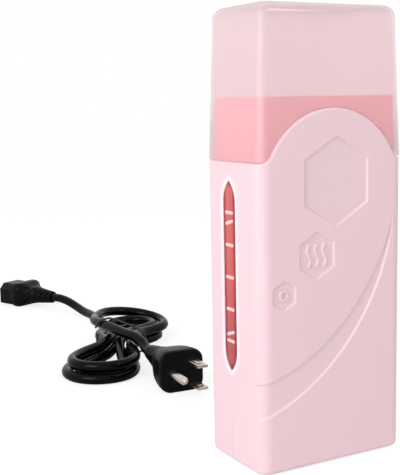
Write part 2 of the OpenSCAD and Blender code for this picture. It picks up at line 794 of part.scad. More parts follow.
module plug_ground_pin() color(metal) on_plug()
    translate([plug_face_x - 6, ground_y, 0]) rotate([0, 90, 0]) {
        cylinder(r = 2.38, h = 24);
        translate([0, 0, 24]) cylinder(r1 = 2.38, r2 = 0.9, h = 3);
    }

front_shell();
back_shell();
shell_screws();
rubber_feet();
cartridge_bay();
window_left();
window_right();
heating_plate();
ptc_heater();
ptc_clamp();
clamp_screws();
insulation_sheet();
thermostat();
thermal_fuse();
led_lens();
led();
led_board();
mains_inlet();
inlet_pins();
wire_live();
wire_neutral();
wire_earth();
wire_led();
cap();
connector_body();
connector_contacts();
connector_relief();
cord_lead();
cord_hank();
cord_tail();
cord_tie();
plug_relief();
plug_body();
plug_blades();
plug_ground_pin();
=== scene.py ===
"""A roll-on wax heater: two pink shells with an arched top, coral level windows, a frosted
lift-off cap, and a mains lead that lies behind it, folded and tied.

Lengths are in millimetres until a mesh or a curve is made of them."""

import math

import bpy
import numpy as np
from mathutils import Matrix, Vector
from mathutils.geometry import delaunay_2d_cdt


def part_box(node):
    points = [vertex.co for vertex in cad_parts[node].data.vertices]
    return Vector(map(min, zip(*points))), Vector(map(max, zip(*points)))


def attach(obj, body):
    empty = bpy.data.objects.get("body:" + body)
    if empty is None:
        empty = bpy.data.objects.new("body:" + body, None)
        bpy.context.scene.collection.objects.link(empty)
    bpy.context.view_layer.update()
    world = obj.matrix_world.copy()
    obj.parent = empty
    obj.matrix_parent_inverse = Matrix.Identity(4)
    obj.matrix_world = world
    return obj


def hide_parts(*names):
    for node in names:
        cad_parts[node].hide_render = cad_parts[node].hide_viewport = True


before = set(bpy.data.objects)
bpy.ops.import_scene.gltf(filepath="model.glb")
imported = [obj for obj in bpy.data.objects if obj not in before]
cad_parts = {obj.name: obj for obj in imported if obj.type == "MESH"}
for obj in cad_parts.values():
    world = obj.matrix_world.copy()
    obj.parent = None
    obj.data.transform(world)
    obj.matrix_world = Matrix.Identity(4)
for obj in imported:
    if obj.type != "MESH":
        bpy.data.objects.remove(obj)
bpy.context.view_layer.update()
MM = 0.001
HEATER = "heater"
CAP = "cap"


def node_box(name):
    """Lowest and highest corner of a CAD node, in millimetres."""
    low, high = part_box(name)
    return np.array(low) / MM, np.array(high) / MM


def srgb(red, green, blue):
    """A colour written as 0 to 255, as the linear colour that a shader takes."""
    share = np.array([red, green, blue]) / 255
    linear = np.where(share <= 0.04045, share / 12.92, ((share + 0.055) / 1.055) ** 2.4)
    return (*linear.tolist(), 1.0)


# ---------- camera ----------

CAMERA_AT = (-252.77, -359.37, 165.43)
CAMERA_YAW = 28.75  # clockwise from straight ahead, seen from above
CAMERA_PITCH = 8.15  # downwards
CAMERA_ROLL = -1.174
CAMERA_LENS = 71.7


def add_camera():
    """The photograph's view, with no shift."""
    data = bpy.data.cameras.new("camera")
    data.lens = CAMERA_LENS
    data.sensor_width = 36
    data.clip_start = 0.01
    data.clip_end = 50
    camera = bpy.data.objects.new("camera", data)
    bpy.context.collection.objects.link(camera)
    turn = (
        Matrix.Rotation(math.radians(-CAMERA_YAW), 4, "Z")
        @ Matrix.Rotation(math.radians(90 - CAMERA_PITCH), 4, "X")
        @ Matrix.Rotation(math.radians(CAMERA_ROLL), 4, "Z")
    )
    camera.matrix_world = Matrix.Translation(Vector(CAMERA_AT) * MM) @ turn
    bpy.context.scene.camera = camera


# ---------- materials ----------


def finish(name, colour, roughness, shade=None, mottle_size=30, grain=0.0, grain_size=0.3, **sockets):
    """A Principled finish. A broad noise moves the colour towards `shade`, a fine noise
    moves the roughness, and the same fine noise raises a grain of `grain` millimetres."""
    material = bpy.data.materials.new(name)
    material.use_nodes = True
    nodes, links = material.node_tree.nodes, material.node_tree.links
    shader = nodes["Principled BSDF"]
    shader.inputs["Base Color"].default_value = colour
    shader.inputs["Roughness"].default_value = roughness
    for socket, value in sockets.items():
        shader.inputs[socket.replace("_", " ").title().replace("Ior", "IOR")].default_value = value
    place = nodes.new("ShaderNodeTexCoord")

    broad = nodes.new("ShaderNodeTexNoise")
    broad.inputs["Scale"].default_value = 1 / (mottle_size * MM)
    broad.inputs["Detail"].default_value = 3
    links.new(place.outputs["Object"], broad.inputs["Vector"])
    blend = nodes.new("ShaderNodeMix")
    blend.data_type = "RGBA"
    blend.inputs["A"].default_value = colour
    blend.inputs["B"].default_value = shade or tuple(0.93 * c for c in colour[:3]) + (1.0,)
    links.new(broad.outputs["Fac"], blend.inputs["Factor"])
    links.new(blend.outputs["Result"], shader.inputs["Base Color"])

    fine = nodes.new("ShaderNodeTexNoise")
    fine.inputs["Scale"].default_value = 1 / (grain_size * MM)
    fine.inputs["Detail"].default_value = 2
    links.new(place.outputs["Object"], fine.inputs["Vector"])
    spread = nodes.new("ShaderNodeMapRange")
    spread.inputs["To Min"].default_value = roughness * 0.9
    spread.inputs["To Max"].default_value = min(1.0, roughness * 1.1)
    links.new(fine.outputs["Fac"], spread.inputs["Value"])
    links.new(spread.outputs["Result"], shader.inputs["Roughness"])
    if grain:
        bump = nodes.new("ShaderNodeBump")
        bump.inputs["Distance"].default_value = grain * MM
        links.new(fine.outputs["Fac"], bump.inputs["Height"])
        links.new(bump.outputs["Normal"], shader.inputs["Normal"])
    return material


def shell_finish():
    """Pearl pink plastic, blended to a paler pink where its point attribute nears 1: a painted highlight
    round the window slots.
    """
    material = finish(
        "shell_pink", srgb(246, 213, 221), 0.42, srgb(245, 211, 219), 40, grain=0.012, grain_size=0.35,
        subsurface_weight=0.12, subsurface_scale=0.004, coat_weight=0.12, coat_roughness=0.3,
    )
    nodes, links = material.node_tree.nodes, material.node_tree.links
    base = nodes["Principled BSDF"].inputs["Base Color"]
    mottled = base.links[0].from_socket
    # the paler pink round the windows is a painted highlight
    painted_highlight = nodes.new("ShaderNodeAttribute")
    painted_highlight.attribute_name = "painted_highlight"
    blend = nodes.new("ShaderNodeMix")
    blend.data_type = "RGBA"
    blend.inputs["B"].default_value = srgb(252, 236, 241)
    links.new(painted_highlight.outputs["Fac"], blend.inputs["Factor"])
    links.new(mottled, blend.inputs["A"])
    links.new(blend.outputs["Result"], base)
    return material


def window_finish():
    """Clear coral plastic: lighter down the middle of the strip, with painted shade in deep red at its
    edges, multiplied by a tone that dims down its length, with painted shade dark at its ends."""
    material = finish(
        "coral_window", srgb(204, 88, 86), 0.26,
        specular_ior_level=0.25, coat_weight=0.15, coat_roughness=0.1,
    )
    nodes, links = material.node_tree.nodes, material.node_tree.links
    shader = nodes["Principled BSDF"]
    place = nodes.new("ShaderNodeTexCoord")
    parts = nodes.new("ShaderNodeSeparateXYZ")
    links.new(place.outputs["Object"], parts.inputs["Vector"])

    across = nodes.new("ShaderNodeMapRange")
    across.inputs["From Min"].default_value = (PART_Y - SLOT_W / 2) * MM
    across.inputs["From Max"].default_value = (PART_Y + SLOT_W / 2) * MM
    links.new(parts.outputs["Y"], across.inputs["Value"])
    # the deep red at both edges of the strip is painted shade from the slot's walls
    tint = nodes.new("ShaderNodeValToRGB")
    tint.color_ramp.interpolation = "EASE"
    set_ramp(tint, (
        (0.0, srgb(140, 28, 40)), (0.14, srgb(176, 48, 56)), (0.3, srgb(208, 92, 88)),
        (0.7, srgb(214, 100, 95)), (0.86, srgb(178, 50, 58)), (1.0, srgb(146, 30, 44)),
    ))
    links.new(across.outputs["Result"], tint.inputs["Fac"])

    along = nodes.new("ShaderNodeMapRange")
    along.inputs["From Min"].default_value = SLOT_LOW * MM
    along.inputs["From Max"].default_value = SLOT_HIGH * MM
    links.new(parts.outputs["Z"], along.inputs["Value"])
    ends = nodes.new("ShaderNodeValToRGB")
    # the dark stops at both ends are painted shade at the slot's tips
    painted_end_shade, dim = (0.2, 0.04, 0.14, 1), (0.72, 0.7, 0.74, 1)
    clear, bright = (0.98, 1, 1, 1), (1, 1.2, 1.25, 1)
    set_ramp(ends, (
        (0.0, painted_end_shade), (0.05, dim), (0.12, dim), (0.5, clear), (0.88, bright), (0.96, bright), (1.0, painted_end_shade),
    ))
    links.new(along.outputs["Result"], ends.inputs["Fac"])

    darker = nodes.new("ShaderNodeMix")
    darker.data_type = "RGBA"
    darker.blend_type = "MULTIPLY"
    darker.inputs["Factor"].default_value = 1
    links.new(tint.outputs["Color"], darker.inputs["A"])
    links.new(ends.outputs["Color"], darker.inputs["B"])
    links.new(darker.outputs["Result"], shader.inputs["Base Color"])
    return material


def set_ramp(node, stops):
    """Gives a colour ramp these (place, colour) stops."""
    elements = node.color_ramp.elements
    while len(elements) < len(stops):
        elements.new(0.5)
    for element, (place, colour) in zip(elements, stops):
        element.position = place
        element.color = colour


# ---------- mesh helpers ----------


def smooth(t):
    """A soft step from 0 to 1."""
    t = np.clip(t, 0, 1)
    return t * t * (3 - 2 * t)


WALL_STOPS = (0, 0.12, 0.88, 1)  # shares of a pocket wall's width at which its slope changes


def straight_wall(t):
    """A straight step from 0 to 1, eased at both ends."""
    return np.interp(t, WALL_STOPS, [0, 0.06, 0.94, 1])


def bezier(corners, t):
    """Points of a cubic curve through four control points."""
    p = np.array(corners, float)
    t = np.asarray(t)[:, None]
    return (
        p[0] * (1 - t) ** 3 + 3 * p[1] * (1 - t) ** 2 * t + 3 * p[2] * (1 - t) * t**2 + p[3] * t**3
    )


def round_off(gap, radius):
    """How far a surface falls, at a distance `gap` from its edge, on a round edge."""
    inner = radius - np.clip(gap, 0, radius)
    return radius - np.sqrt(np.maximum(radius**2 - inner**2, 0))


def edge_gaps(radius, steps=4):
    """Distances from an edge at which a round edge is drawn, the edge itself first."""
    return radius * (1 - np.sin(np.linspace(math.pi / 2, 0, steps + 1)))


def outline(width, depth, radius, long_steps, short_steps):
    """A round-cornered rectangle, counter-clockwise from the top of the +X side: four
    quarter circles, with the sides between them split evenly."""
    rows = []
    for k, (sx, sy) in enumerate(((1, 1), (-1, 1), (-1, -1), (1, -1))):
        angle = np.linspace(0, math.pi / 2, 9) + k * math.pi / 2
        middle = np.array([sx * (width / 2 - radius), sy * (depth / 2 - radius)])
        rows.append(middle + radius * np.stack([np.cos(angle), np.sin(angle)], 1))
    made = []
    for k in range(4):
        steps = long_steps if k % 2 == 0 else short_steps
        share = np.linspace(0, 1, steps + 1)[1:-1, None]
        made += [rows[k], rows[k][-1] * (1 - share) + rows[(k + 1) % 4][0] * share]
    return np.vstack(made)


def add_object(name, data, body):
    """An object of this mesh or curve at the origin, riding on a body."""
    thing = bpy.data.objects.new(name, data)
    bpy.context.collection.objects.link(thing)
    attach(thing, body)
    return thing


CREASE, SOFT_CREASE = 42, 60  # degrees


def add_mesh(name, points, faces, material, slot, body=HEATER, crease=CREASE):
    """A mesh of points in millimetres. Edges sharper than `crease` degrees stay sharp, and
    flat faces stay flat beside rounded edges."""
    mesh = bpy.data.meshes.new(name)
    mesh.from_pydata((np.asarray(points) * MM).tolist(), [], [tuple(map(int, f)) for f in faces])
    mesh.update()
    mesh.materials.append(material)
    mesh.shade_smooth()
    mesh.set_sharp_from_angle(angle=math.radians(crease))
    thing = add_object(name, mesh, body)
    flat_faces = thing.modifiers.new("flat_faces", "WEIGHTED_NORMAL")
    flat_faces.keep_sharp = True
    return thing


def loft_faces(rows, columns):
    """Quads between closed rings of points, one ring after another."""
    row, column = np.meshgrid(np.arange(rows - 1), np.arange(columns), indexing="ij")
    a = row * columns + column
    b = row * columns + (column + 1) % columns
    return np.stack([a, b, b + columns, a + columns], -1).reshape(-1, 4)


def loft(rings):
    """Points and faces of a solid skinned over rings that run counter-clockwise round its
    way, seen from its far end. The two ends are closed flat."""
    rings = np.asarray(rings, float)
    rows, columns = rings.shape[:2]
    last = (rows - 1) * columns
    faces = loft_faces(rows, columns).tolist()
    faces += [list(range(columns))[::-1], [last + i for i in range(columns)]]
    return rings.reshape(-1, 3), faces


def gather(parts):
    """Several (points, faces) put into one."""
    points, faces, count = [], [], 0
    for some_points, some_faces in parts:
        points.append(some_points)
        faces += [[i + count for i in face] for face in some_faces]
        count += len(some_points)
    return np.vstack(points), faces


# ---------- mains lead: its route comes first ----------

CORD_PLACE = np.array([-3.0, 209.0, 0.0])
CORD_TURN = -37
CORD_D = 6.5
CORD_R = CORD_D / 2
LAYER_H = CORD_D + 0.5
HANK_LOOPS = 3
HANK_RINGS = 64  # points to a loop
HANK_TOP, HANK_LOW = 37, -52  # where its folds start
FOLD_R, FOLD_STEP = 12, 8  # radius of the innermost fold, and how much each loop adds
WAIST_X, WAIST_STEP = 1.2, 7.4  # the innermost run's place at the waist, and each loop's step
WAIST_HALF, WAIST_LIFT, WAIST_FALL = 8, 1, 14  # its half length, its lift, and how far on that ends
LEAD_POINTS = (
    (-86, 130, 9.8), (-79, 126, 9.8), (-71, 121, 8.4), (-62, 114, 5.6), (-54, 106, 3.7),
    (-46, 97, 3.25), (-39, 87, 3.25), (-33, 76, 3.25), (-28.5, 66, 3.25), (-25.5, 58, 3.25),
    (-24, 50, 3.25), (-24, 43.5, 3.25),
)
TAIL_POINTS = (
    (-24, 30.5, 17.25), (-24, 25, 17.25), (-22, 17, 17.8), (-17, 8, 18.4), (-10, 0, 18.6),
    (-2.5, -8, 18.4), (5.5, -16, 17.8), (12.5, -22.6, 17.6), (16.4, -26.1, 16.9), (20.6, -30.4, 15.4),
    (23.4, -34.5, 13.6), (26.1, -38.69, 12.4), (29.1, -43.3, 12.4),
)
CONNECTOR_AT, CONNECTOR_TURN = LEAD_POINTS[0], 150
PLUG_AT, PLUG_TURN = TAIL_POINTS[-1], -57


def turned(points, degrees, place):
    """Points turned about Z and then moved."""
    c, s = math.cos(math.radians(degrees)), math.sin(math.radians(degrees))
    return np.asarray(points, float) @ np.array([[c, s, 0], [-s, c, 0], [0, 0, 1]]) + place


def laid(points):
    """The cord set's own flat frame, set down on the table."""
    return turned(points, CORD_TURN, CORD_PLACE)


def rounded_path(points, per_step=6):
    """A smooth line through given points: a cubic between each two, whose slope at a
    point is that of the line from the point before to the point after."""
    p = np.array(points, float)
    slope = np.gradient(p, axis=0)
    t = np.linspace(0, 1, per_step, endpoint=False)[None, :, None]
    a, b, da, db = p[:-1, None], p[1:, None], slope[:-1, None], slope[1:, None]
    made = (
        a * (2 * t**3 - 3 * t**2 + 1) + da * (t**3 - 2 * t**2 + t)
        + b * (3 * t**2 - 2 * t**3) + db * (t**3 - t**2)
    )
    return np.vstack([made.reshape(-1, 3), p[-1:]])


def hank_points(t):
    """The hank's centre line after t loops: down the left side and up the right one, in
    towards the middle over the first half and out again over the second, a layer higher
    from the run after the turn, drawn together at the waist and lifted there for the tie."""
    away = np.abs(t - HANK_LOOPS / 2)
    fold = FOLD_R + FOLD_STEP * away
    waist = WAIST_X + WAIST_STEP * away
    done = np.floor(4 * t + 1e-4)
    quarter, part = done.astype(int) % 4, 4 * t - done
    down, run = quarter == 0, quarter % 2 == 0
    y = np.where(down, HANK_TOP + (HANK_LOW - HANK_TOP) * part, HANK_LOW + (HANK_TOP - HANK_LOW) * part)
    span = np.where(y > 0, HANK_TOP, -HANK_LOW)
    free = np.maximum(np.abs(y) - WAIST_HALF, 0) / (span - WAIST_HALF)
    spread = (1 - np.cos(math.pi * free)) / 2
    middle, way = np.where(quarter == 1, HANK_LOW, HANK_TOP), np.where(quarter == 1, -1, 1)
    side = np.where(down, -1, 1)
    x = np.where(run, side * (waist + (fold - waist) * spread), way * fold * np.cos(math.pi * part))
    y = np.where(run, y, middle + way * fold * np.sin(math.pi * part))
    layer = smooth(8 * (t - HANK_LOOPS / 2)) + smooth(4 * (t - HANK_LOOPS) + 1)
    lift = WAIST_LIFT * (1 - smooth((np.abs(y) - WAIST_HALF) / WAIST_FALL))
    return np.stack([x, y, CORD_R + LAYER_H * layer + lift], 1)


def cord_path():
    """The whole lead's centre line: its free end, the hank, and the end with the plug."""
    turns = np.linspace(0, HANK_LOOPS, HANK_LOOPS * HANK_RINGS + 1)
    return laid(np.vstack([rounded_path(LEAD_POINTS), hank_points(turns), rounded_path(TAIL_POINTS)]))


def add_curve(name, path, radius, material, sides):
    """A round cord or wire along a line of points. More `sides` make it rounder."""
    curve = bpy.data.curves.new(name, "CURVE")
    curve.dimensions = "3D"
    curve.bevel_depth = radius * MM
    curve.bevel_resolution = sides
    curve.use_fill_caps = True
    spline = curve.splines.new("POLY")
    spline.points.add(len(path) - 1)
    flat = np.hstack([np.asarray(path) * MM, np.ones((len(path), 1))])
    spline.points.foreach_set("co", flat.ravel())
    curve.materials.append(material)
    return add_object(name, curve, HEATER)


# ---------- shells ----------

FRONT_LOW, FRONT_HIGH = node_box("front_shell")
BACK_HIGH = node_box("back_shell")[1]
WIDTH = FRONT_HIGH[0] - FRONT_LOW[0]
DEPTH = BACK_HIGH[1] - FRONT_LOW[1]
PART_Y = FRONT_HIGH[1]
FOOT_H = FRONT_LOW[2]
WALL = 2.2
EDGE_R = 6  # upright edges
BASE_R = 2.5  # edge under the base
SEAM_Z = 139  # where the cap meets the shells at the sides
ARCH_R = 37
ARCH_FILLET = 7
ARCH_MID = FRONT_HIGH[2] - ARCH_R
ARCH_FOOT_Z = SEAM_Z + ARCH_FILLET
ARCH_FOOT_X = math.sqrt((ARCH_R + ARCH_FILLET) ** 2 - (ARCH_FOOT_Z - ARCH_MID) ** 2)
ARCH_JOIN_X = ARCH_FOOT_X * ARCH_R / (ARCH_R + ARCH_FILLET)

# The chart: u runs round the wall from the middle of the broad face, v runs up it
FLAT = WIDTH / 2 - EDGE_R
TURN = EDGE_R * math.pi / 2
BASE_TOP = FOOT_H + BASE_R
V_LOW = BASE_TOP - BASE_R * math.pi / 2

RELIEF = 1.0  # depth of the pockets and the band
HEX_WALL = 1.0
BIG_HEX = (1.4, 129.5, 20.4)  # x, z and corner radius
MID_HEX = (-9.3, 97.2, 11.2)
SMALL_HEX = (-26.8, 80.9, 7.2)
LAMP_R = 1.2
RING_MID, RING_HALF, RING_RISE = 1.9, 0.7, 0.8  # raised ring round the lamp
WAVE_HALF, WAVE_RISE = 0.9, 0.8  # raised heat lines
WAVE_PITCH, WAVE_SWAY, WAVE_TALL = 4.2, 0.9, 9.2
BAND_TOP = ((-39.5, 42.1), (-0.4, 49.9), (24.7, 82.1), (33.6, 113))
BAND_LOW = ((-39.5, 25.8), (5.6, 38.2), (31.4, 79.8), (33.6, 113))
BAND_STEP, BAND_RISE = 0.6, 0.8  # widths of its upper and its lower wall
BAND_FADE = 12  # how far it runs along the narrow side
RIM_R = 1.2  # upper edge of the shells
PART_R = 0.28  # edges along the parting line
SLOT_W, SLOT_LOW, SLOT_HIGH, SLOT_TIP = 10.4, 43.6, 130.6, 9.5
SLOT_ARC = (SLOT_W**2 / 4 + SLOT_TIP**2) / SLOT_W
LIP_W, LIP_RISE, LIP_R, LIP_FALL = 1.5, 0.2, 0.6, 0.7  # raised lip round a window
# the paler colour round a window is a painted highlight, faded out between these distances from its slot
HIGHLIGHT_FROM, HIGHLIGHT_W = 0.9, 3.2  # from where the paler colour round it fades, and to where
WELL_X, WELL_R, WELL_ZS = 32.8, 2.4, (14, 116)
WELL_SHAPE = ((WELL_R, 21.6), (WELL_R, 14), (1.45, 14), (1.45, 12), (3.4, 12), (3.4, 21.6), (WELL_R, 21.6))
INLET_W, INLET_H, INLET_Z = 31.2, 24.2, 22


def arch_edge(x, grow=0.0):
    """Height of the shells' top edge over x: a circle's upper half, whose feet sweep out to
    the seam on two smaller circles. `grow` widens the arch by that much all round."""
    x = np.abs(x)
    crown = ARCH_MID + np.sqrt(np.maximum((ARCH_R + grow) ** 2 - x**2, 0))
    foot = ARCH_FOOT_Z - np.sqrt(np.maximum((ARCH_FILLET - grow) ** 2 - (ARCH_FOOT_X - x) ** 2, 0))
    join = ARCH_JOIN_X * (ARCH_R + grow) / ARCH_R
    return np.where(x < join, crown, foot)


def chart_x(u):
    """X of a place on the wall."""
    turn = np.clip((np.abs(u) - FLAT) / EDGE_R, 0, math.pi / 2)
    return np.sign(u) * (np.minimum(np.abs(u), FLAT) + EDGE_R * np.sin(turn))


def slope_of(height, x):
    """Slope of a curve's height at x."""
    step = 0.05
    return (height(x + step) - height(x - step)) / (2 * step)


def on_wall(u, v, depth, way):
    """The point under a place on the wall, `depth` below its surface. way is -1 for the
    front shell and 1 for the back one. The wall curls in under the base."""
    reach = BASE_R - depth
    fall = np.clip((BASE_TOP - v) / BASE_R, 0, math.pi / 2)
    radius = EDGE_R - BASE_R + reach * np.cos(fall)
    turn = np.clip((np.abs(u) - FLAT) / EDGE_R, 0, math.pi / 2)
    run = np.clip(np.abs(u) - FLAT - TURN, 0, None)
    x = np.sign(u) * (np.minimum(np.abs(u), FLAT) + radius * np.sin(turn))
    y = way * (DEPTH / 2 - EDGE_R + radius * np.cos(turn) - run)
    z = np.maximum(v, BASE_TOP) - reach * np.sin(fall)
    return np.stack([x, y, z], -1)


def band_edge(corners, u):
    """Height of one of the band's two curves, which runs level along the narrow side."""
    curve = bezier(corners, np.linspace(0, 1, 200))
    return np.interp(chart_x(u), curve[:, 0], curve[:, 1])


def band_gap(corners, u, v):
    """Distance below one of the band's curves, square to it."""
    slope = slope_of(lambda place: band_edge(corners, place), u)
    return (band_edge(corners, u) - v) / np.sqrt(1 + slope**2)


def band_depth(u, v):
    """The band is sunk between two steps. Round the corner its lower step fades into a
    ramp, and the whole band fades out on the narrow side."""
    below = band_gap(BAND_TOP, u, v)
    above = -band_gap(BAND_LOW, u, v)
    corner = smooth((-u - FLAT) / TURN)
    ramp = np.clip(above, 0, None) / np.maximum(np.abs(above + below), 1e-6)
    body = straight_wall(below / BAND_STEP) * straight_wall(above / BAND_RISE)
    fade = 1 - smooth((-u - FLAT - TURN) / BAND_FADE)
    depth = RELIEF * body * (1 - corner + corner * ramp) * fade
    return np.where((below > 0) & (above > 0), depth, 0)


def hex_gap(hexagon, x, z):
    """Distance inside a hexagon's nearest side."""
    angle = np.radians([0, 60, 120])
    across, up = (x - hexagon[0])[..., None], (z - hexagon[1])[..., None]
    reach = np.abs(across * np.cos(angle) + up * np.sin(angle))
    return hexagon[2] * math.cos(math.pi / 6) - reach.max(-1)


def wave_paths():
    """Three upright wavy lines, the sign for heat."""
    t = np.linspace(0, 1, 40)
    sway = WAVE_SWAY * np.sin(2 * math.pi * t)
    height = MID_HEX[1] + WAVE_TALL * (t - 0.5)
    return [np.stack([MID_HEX[0] + WAVE_PITCH * i + sway, height], 1) for i in (-1, 0, 1)]


def bead(distance, half, rise):
    """Height of a half-round raised line at a distance from its middle."""
    return rise * np.sqrt(np.clip(1 - (distance / half) ** 2, 0, 1))


def slot_gap(u, v, reach):
    """Distance outside the window slot, which the parting line at u = reach halves."""
    across = reach - np.abs(u)
    past = np.maximum(v - (SLOT_HIGH - SLOT_TIP), (SLOT_LOW + SLOT_TIP) - v)
    round_gap = np.hypot(across + SLOT_ARC - SLOT_W / 2, np.maximum(past, 0)) - SLOT_ARC
    return np.where(past > 0, round_gap, across - SLOT_W / 2)


def front_relief(u, v):
    """Depth of the front shell's pockets and what stands in them."""
    place = np.stack([u, v], -1)
    depth = band_depth(u, v)
    for hexagon in (BIG_HEX, MID_HEX, SMALL_HEX):
        depth = depth + RELIEF * straight_wall(hex_gap(hexagon, u, v) / HEX_WALL)
    for path in wave_paths():
        away = np.linalg.norm(place[:, None] - path[None], axis=2).min(1)
        depth = depth - bead(away, WAVE_HALF, WAVE_RISE)
    ring = np.hypot(u - SMALL_HEX[0], v - SMALL_HEX[1]) - RING_MID
    return depth - bead(ring, RING_HALF, RING_RISE)


def plain(u, v):
    """The back shell has no pockets."""
    return np.zeros_like(u)


def shell_depth(u, v, reach, relief):
    """Depth of a shell's face: its relief, its round edges and the lip round its slots."""
    x = chart_x(u)
    top = (arch_edge(x) - v) / np.sqrt(1 + slope_of(arch_edge, x) ** 2)
    slot = slot_gap(u, v, reach)
    lip = round_off(slot, LIP_R) - LIP_RISE * smooth((LIP_W - slot) / LIP_FALL)
    return relief(u, v) + round_off(top, RIM_R) + round_off(reach - np.abs(u), PART_R) + lip


def beside(path, distance):
    """A line of points moved to its left."""
    way = np.gradient(path, axis=0)
    way /= np.linalg.norm(way, axis=1)[:, None]
    return path + distance * np.stack([-way[:, 1], way[:, 0]], 1)


def circle(x, z, radius, steps=32):
    """A closed round line."""
    angle = np.linspace(0, 2 * math.pi, steps + 1)
    return np.stack([x + radius * np.cos(angle), z + radius * np.sin(angle)], 1)


def around_path(path, distance):
    """A closed line at a distance round an upright path, with half-round ends."""
    up = circle(*path[-1], distance, 16)[:9]
    down = circle(*path[0], distance, 16)[8:]
    left, right = beside(path, distance), beside(path, -distance)
    return np.vstack([right, up[1:-1], left[::-1], down[1:-1], right[:1]])


def rectangle(x, z, width, height):
    """A closed four-cornered line."""
    w, h = width / 2, height / 2
    return np.array([[x - w, z - h], [x + w, z - h], [x + w, z + h], [x - w, z + h], [x - w, z - h]])


def slot_line(gap, reach, side):
    """The line at a distance round the half of a window slot that one shell holds."""
    radius = SLOT_ARC + gap
    offset = SLOT_ARC - SLOT_W / 2
    bend = np.linspace(math.acos(offset / radius), 0, 13)
    across = radius * np.cos(bend) - offset
    low = SLOT_LOW + SLOT_TIP - radius * np.sin(bend)
    high = SLOT_HIGH - SLOT_TIP + radius * np.sin(bend)
    u = side * (reach - np.concatenate([across, across[::-1]]))
    return np.stack([u, np.concatenate([low, high[::-1]])], 1)


def wall_lines(reach):
    """The lines that both shells' charts share: edges, corners and window slots."""
    turns = FLAT + TURN * np.linspace(0, 1, 9)
    corners = np.concatenate([-turns[::-1], turns])
    sweep, side_u = np.linspace(-FLAT, FLAT, 140), np.linspace(FLAT + TURN, reach, 6)
    u = np.unique(np.concatenate([corners, sweep, side_u, -side_u]))
    top = np.stack([u, arch_edge(chart_x(u))], 1)
    lines = [beside(top, -gap) for gap in edge_gaps(RIM_R)]
    lines = [np.clip(line, [-reach, -np.inf], [reach, np.inf]) for line in lines]
    for c in corners:
        lines.append(np.array([[c, V_LOW], [c, arch_edge(chart_x(np.array([c])))[0]]]))
    for fall in np.linspace(0, 1, 8):
        height = BASE_TOP + (V_LOW - BASE_TOP) * fall
        lines.append(np.array([[-reach, height], [reach, height]]))
    for side in (-1, 1):
        for gap in edge_gaps(PART_R, 2):
            edge = side * (reach - gap)
            for low, high in ((V_LOW, SLOT_LOW), (SLOT_HIGH, SEAM_Z)):
                lines.append(np.array([[edge, low], [edge, high]]))
        for gap in [*edge_gaps(LIP_R), 0.8, 1.0, 1.25, LIP_W, 1.9, 2.4, HIGHLIGHT_W]:
            lines.append(slot_line(gap, reach, side))
    return lines


def relief_lines():
    """The lines that the front shell's pockets and its band add."""
    lines = []
    wall_gaps = sorted([*WALL_STOPS, 0.5])
    left = -FLAT - np.concatenate([TURN + np.linspace(BAND_FADE, 1, 10), TURN * np.linspace(1, 0, 9)])
    for corners, width, way in ((BAND_TOP, BAND_STEP, -1), (BAND_LOW, BAND_RISE, 1)):
        start = np.stack([left, band_edge(corners, left)], 1)
        curve = bezier(corners, np.linspace(0, 1, 70))
        path = np.vstack([start, curve[curve[:, 0] > -FLAT + 0.3]])
        lines += [beside(path, way * width * gap) for gap in wall_gaps]
    corner = np.radians(90 + 60 * np.arange(7))
    corner = np.stack([np.cos(corner), np.sin(corner)], 1)
    for x, z, size in (BIG_HEX, MID_HEX, SMALL_HEX):
        for gap in wall_gaps:
            lines.append(np.array([x, z]) + (size - HEX_WALL * gap / math.cos(math.pi / 6)) * corner)
    for path in wave_paths():
        lines.append(path)
        lines += [around_path(path, WAVE_HALF * gap) for gap in (0.35, 0.6, 0.8, 0.93, 1)]
    for gap in (-1, -0.93, -0.8, -0.5, 0, 0.5, 0.8, 0.93, 1):
        lines.append(circle(*SMALL_HEX[:2], RING_MID + RING_HALF * gap))
    lines.append(circle(*SMALL_HEX[:2], LAMP_R))
    return lines


def triangles_over(lines, inside):
    """Triangles over a chart that keep every line as edges. `inside` says which stay."""
    points = np.vstack(lines)
    starts = set(np.cumsum([len(line) for line in lines]).tolist())
    edges = [(i, i + 1) for i in range(len(points) - 1) if i + 1 not in starts]
    found, _, faces, *_ = delaunay_2d_cdt([Vector(p) for p in points.tolist()], edges, [], 0, 1e-3)
    found, faces = np.array([tuple(p) for p in found]), np.array(faces)
    a, b, c = (found[faces[:, k]] for k in range(3))
    area = (b[:, 0] - a[:, 0]) * (c[:, 1] - a[:, 1]) - (b[:, 1] - a[:, 1]) * (c[:, 0] - a[:, 0])
    faces[area < 0] = faces[area < 0][:, ::-1]
    centre = found[faces].mean(1)
    faces = faces[(np.abs(area) > 1e-7) & inside(centre[:, 0], centre[:, 1])]
    used, renumbered = np.unique(faces, return_inverse=True)
    return found[used], renumbered.reshape(-1, 3)


